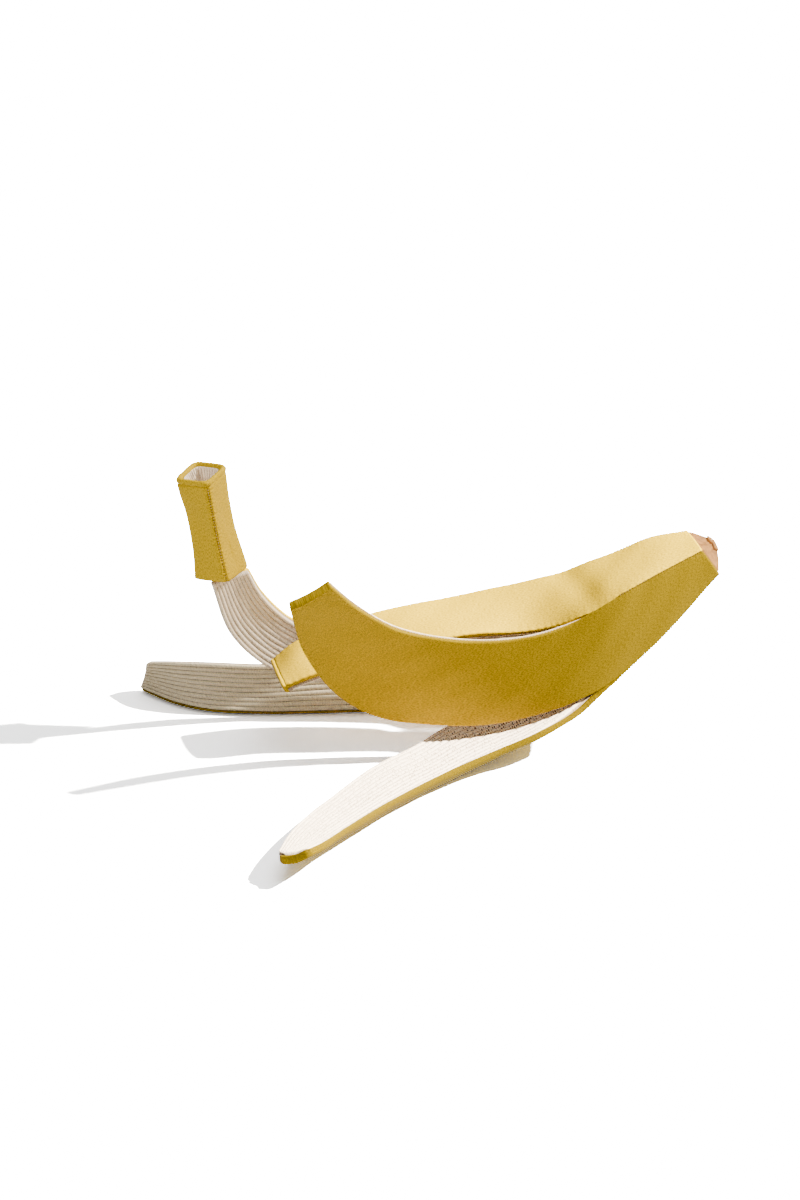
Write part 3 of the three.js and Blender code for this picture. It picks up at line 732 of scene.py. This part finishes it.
def stitches(name, path, normal, length=1.35, thick=THREAD):
    """Small spindles along a path of points in mm, each leaning on the normal at its place: a
    six-sided tube whose radius follows a half sine over the length of the stitch."""
    run = length_run(path)
    at = np.arange(STITCH / 2, run[-1], STITCH)
    spot = np.stack([np.interp(at, run, path[:, k]) for k in range(3)], axis=1)
    along = unit(np.stack([np.interp(at, run, np.gradient(path[:, k], run)) for k in range(3)], axis=1))
    up = np.stack([np.interp(at, run, normal[:, k]) for k in range(3)], axis=1)
    up = unit(up - along * np.sum(up * along, axis=1, keepdims=True))
    side = np.cross(up, along)
    t = np.linspace(0, 1, STITCH_SIDES)[None, :, None]
    round_it = np.linspace(0, 2 * np.pi, STITCH_SIDES, endpoint=False)[None, None]
    radius = thick * np.sqrt(np.sin(np.pi * (0.04 + 0.92 * t)))
    lean = along + STITCH_LEAN * side
    body = spot[:, None, None] + lean[:, None, None] * ((t - 0.5) * length)[..., None]
    body = body + side[:, None, None] * (radius * np.cos(round_it))[..., None]
    body = body + up[:, None, None] * (radius * np.sin(round_it))[..., None]
    body = body + up[:, None, None] * (STITCH_ARCH * np.sin(np.pi * t) - STITCH_SUNK)[..., None]
    index = np.arange(len(at) * STITCH_SIDES**2).reshape(len(at), STITCH_SIDES, STITCH_SIDES)
    right = np.roll(index, -1, axis=2)
    faces = np.stack([index[:, :-1], right[:, :-1], right[:, 1:], index[:, 1:]], -1)
    faces = faces.reshape(-1, 4).tolist() + index[:, 0, ::-1].tolist() + index[:, -1].tolist()
    mesh = bpy.data.meshes.new(name)
    mesh.from_pydata(((body - CENTRE) / 1000).reshape(-1, 3).tolist(), [], faces)
    mesh.polygons.foreach_set("use_smooth", np.ones(len(faces), bool))
    mesh.materials.append(gold_thread)
    piece = bpy.data.objects.new(name, mesh)
    bpy.context.scene.collection.objects.link(piece)
    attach(piece, "root")
    return piece


gold_thread, tree, bsdf = new_material("gold_thread")
spot = add_node(tree, "ShaderNodeTexCoord")
twist = add_node(tree, "ShaderNodeTexNoise", {"Vector": spot.outputs["Object"], "Scale": 2600.0})
tone = ramp(tree, twist.outputs["Fac"], [(0.3, (0.14, 0.075, 0.004)), (0.7, (0.36, 0.21, 0.02))])
tree.links.new(tone, bsdf.inputs["Base Color"])
add_bump(tree, bsdf, twist.outputs["Fac"], 0.4, 0.0001)
bsdf.inputs["Roughness"].default_value = 0.45

neighbours = {"EA": ("e", "a"), "AB": ("a", "b"), "BC": ("b", "c"), "CD": ("c", "d"), "DE": ("d", "e")}
for seam_name, (one, other) in neighbours.items():
    path = strips[one]["high"][:SEWN_ROWS]
    facing = unit(strips[one]["out"][:SEWN_ROWS] + strips[other]["out"][:SEWN_ROWS])
    stitches(f"seam_stitches_{seam_name.lower()}", path - facing * 0.1, facing,
             1.2, SEAM_THREAD)
for letter, slot in SLOTS.items():
    s = lay_out(letter, SEWN_SHARES, np.linspace(0, 1, 300) * STITCHED_SHARE)
    inside = -s["out"]
    for edge_name, sign in (("first", -1), ("second", 1)):
        if letter + edge_name in ("bfirst", "dsecond"):  # these two edges are sewn from inside
            continue
        depth = SATIN + 0.1
        x = sign * (s["width"] / 2 - GAP / 2 - s["slope"] * depth - EDGE_STEP)
        path = place(s, x[:, None], np.full((len(x), 1), depth))[:, 0] * 1000 + CENTRE
        stitches(f"lining_stitches_{letter}_{edge_name}", path[SEWN_ROWS:], inside[SEWN_ROWS:],
                 1.0)
h = np.linspace(1, stem_length - 5.5, 80)
corner_line = squared(np.full((80, 1), FRONT_CORNER), h[:, None], np.full((80, 1), 0.55))
corner_line = corner_line[:, 0] * 1000 + CENTRE
outward = np.broadcast_to(unit(stem_right - stem_back), corner_line.shape)
stitches("stem_corner_stitches", corner_line, outward, 1.3, CORNER_THREAD)

# Floor, lights and camera: a plain pale floor and a sun from the right, weaker on the pieces that
# stand in softer light and further round to the front on the bottom lining, with a softbox
# overhead, a weak light from the left front on the stem alone, and a wide pale sky. The camera
# looks down 25 degrees through a long lens.
floor_mesh = bpy.data.meshes.new("floor")
floor_mesh.from_pydata([(-6, -6, 0), (6, -6, 0), (6, 9, 0), (-6, 9, 0)], [], [(0, 1, 2, 3)])
floor = bpy.data.objects.new("floor", floor_mesh)
bpy.context.scene.collection.objects.link(floor)
floor_paint, tree, bsdf = new_material("floor_paint")
seen = add_node(tree, "ShaderNodeLightPath")
paint = add_node(tree, "ShaderNodeMapRange", {0: seen.outputs["Is Camera Ray"], 3: 0.12, 4: 2.6})
tree.links.new(paint.outputs[0], bsdf.inputs["Base Color"])
bsdf.inputs["Roughness"].default_value = 0.9
bsdf.inputs["Specular IOR Level"].default_value = 0.1
floor_mesh.materials.append(floor_paint)


def add_light(name, kind, energy, toward, lit=None):
    """A light that shines from a direction, on the pieces of one collection or on everything."""
    lamp = bpy.data.objects.new(name, bpy.data.lights.new(name, kind))
    lamp.data.energy = energy
    lamp.rotation_euler = Vector(toward).to_track_quat("Z", "Y").to_euler()
    if lit is not None:
        lamp.light_linking.receiver_collection = lit
    bpy.context.scene.collection.objects.link(lamp)
    return lamp


SUN_FROM = (1.15, 0.13, 1.0)
side_set = bpy.data.collections.new("side_set")
open_set = bpy.data.collections.new("open_set")
bottom_set = bpy.data.collections.new("bottom_set")
for piece in bpy.context.scene.collection.objects:
    beside = piece.name.startswith((
        "satin_strip_a", "satin_strip_e", "corded_lining_c", "corded_lining_d", "blossom_cap", "stem_",
        "neck_gusset", "seam_stitches_ea", "seam_stitches_ab", "lining_stitches_c", "lining_stitches_d",
    ))
    under = piece.name.startswith(("corded_lining_e", "lining_stitches_e"))
    (side_set if beside else bottom_set if under else open_set).objects.link(piece)
for name, energy, toward, lit in (("sun", 72.0, SUN_FROM, open_set),
                                  ("sun_on_the_sides", 12.0, SUN_FROM, side_set),
                                  ("sun_on_the_bottom", 50.0, (1.0, -0.35, 1.25), bottom_set)):
    sun = add_light(name, "SUN", energy, toward, lit)
    sun.data.angle = 0.03
    sun.data.color = (1.0, 0.975, 0.93)

stem_set = bpy.data.collections.new("stem_set")
for piece in side_set.objects:
    if piece.name.startswith("stem"):
        stem_set.objects.link(piece)
fill = add_light("stem_fill", "SUN", 3.2, (-0.8, -0.8, 0.5), stem_set)
fill.data.angle = 0.6
softbox = add_light("overhead_softbox", "AREA", 62.0, (0.3, 0.6, 2.3))
softbox.data.size = 2.4
softbox.location = (0.3, 0.6, 2.4)

world = bpy.data.worlds.new("pale_sky")
world.use_nodes = True
world.node_tree.nodes["Background"].inputs["Color"].default_value = (0.95, 0.97, 1.0, 1)
world.node_tree.nodes["Background"].inputs["Strength"].default_value = 0.36
bpy.context.scene.world = world

ELEVATION = np.radians(25)
AIM = Vector((np.array([-18.85, 50.0, 110.0]) - CENTRE) / 1000)
LENS, SENSOR, VIEW_HEIGHT = 300, 36, 0.78
toward = Vector((0, -float(np.cos(ELEVATION)), float(np.sin(ELEVATION))))
lens = bpy.data.cameras.new("camera")
lens.sensor_fit = "VERTICAL"
lens.sensor_height = SENSOR
lens.lens = LENS
lens.clip_end = 50
camera = bpy.data.objects.new("camera", lens)
camera.location = AIM + toward * (VIEW_HEIGHT * LENS / SENSOR)
camera.rotation_euler = toward.to_track_quat("Z", "Y").to_euler()
bpy.context.scene.collection.objects.link(camera)
bpy.context.scene.camera = camera
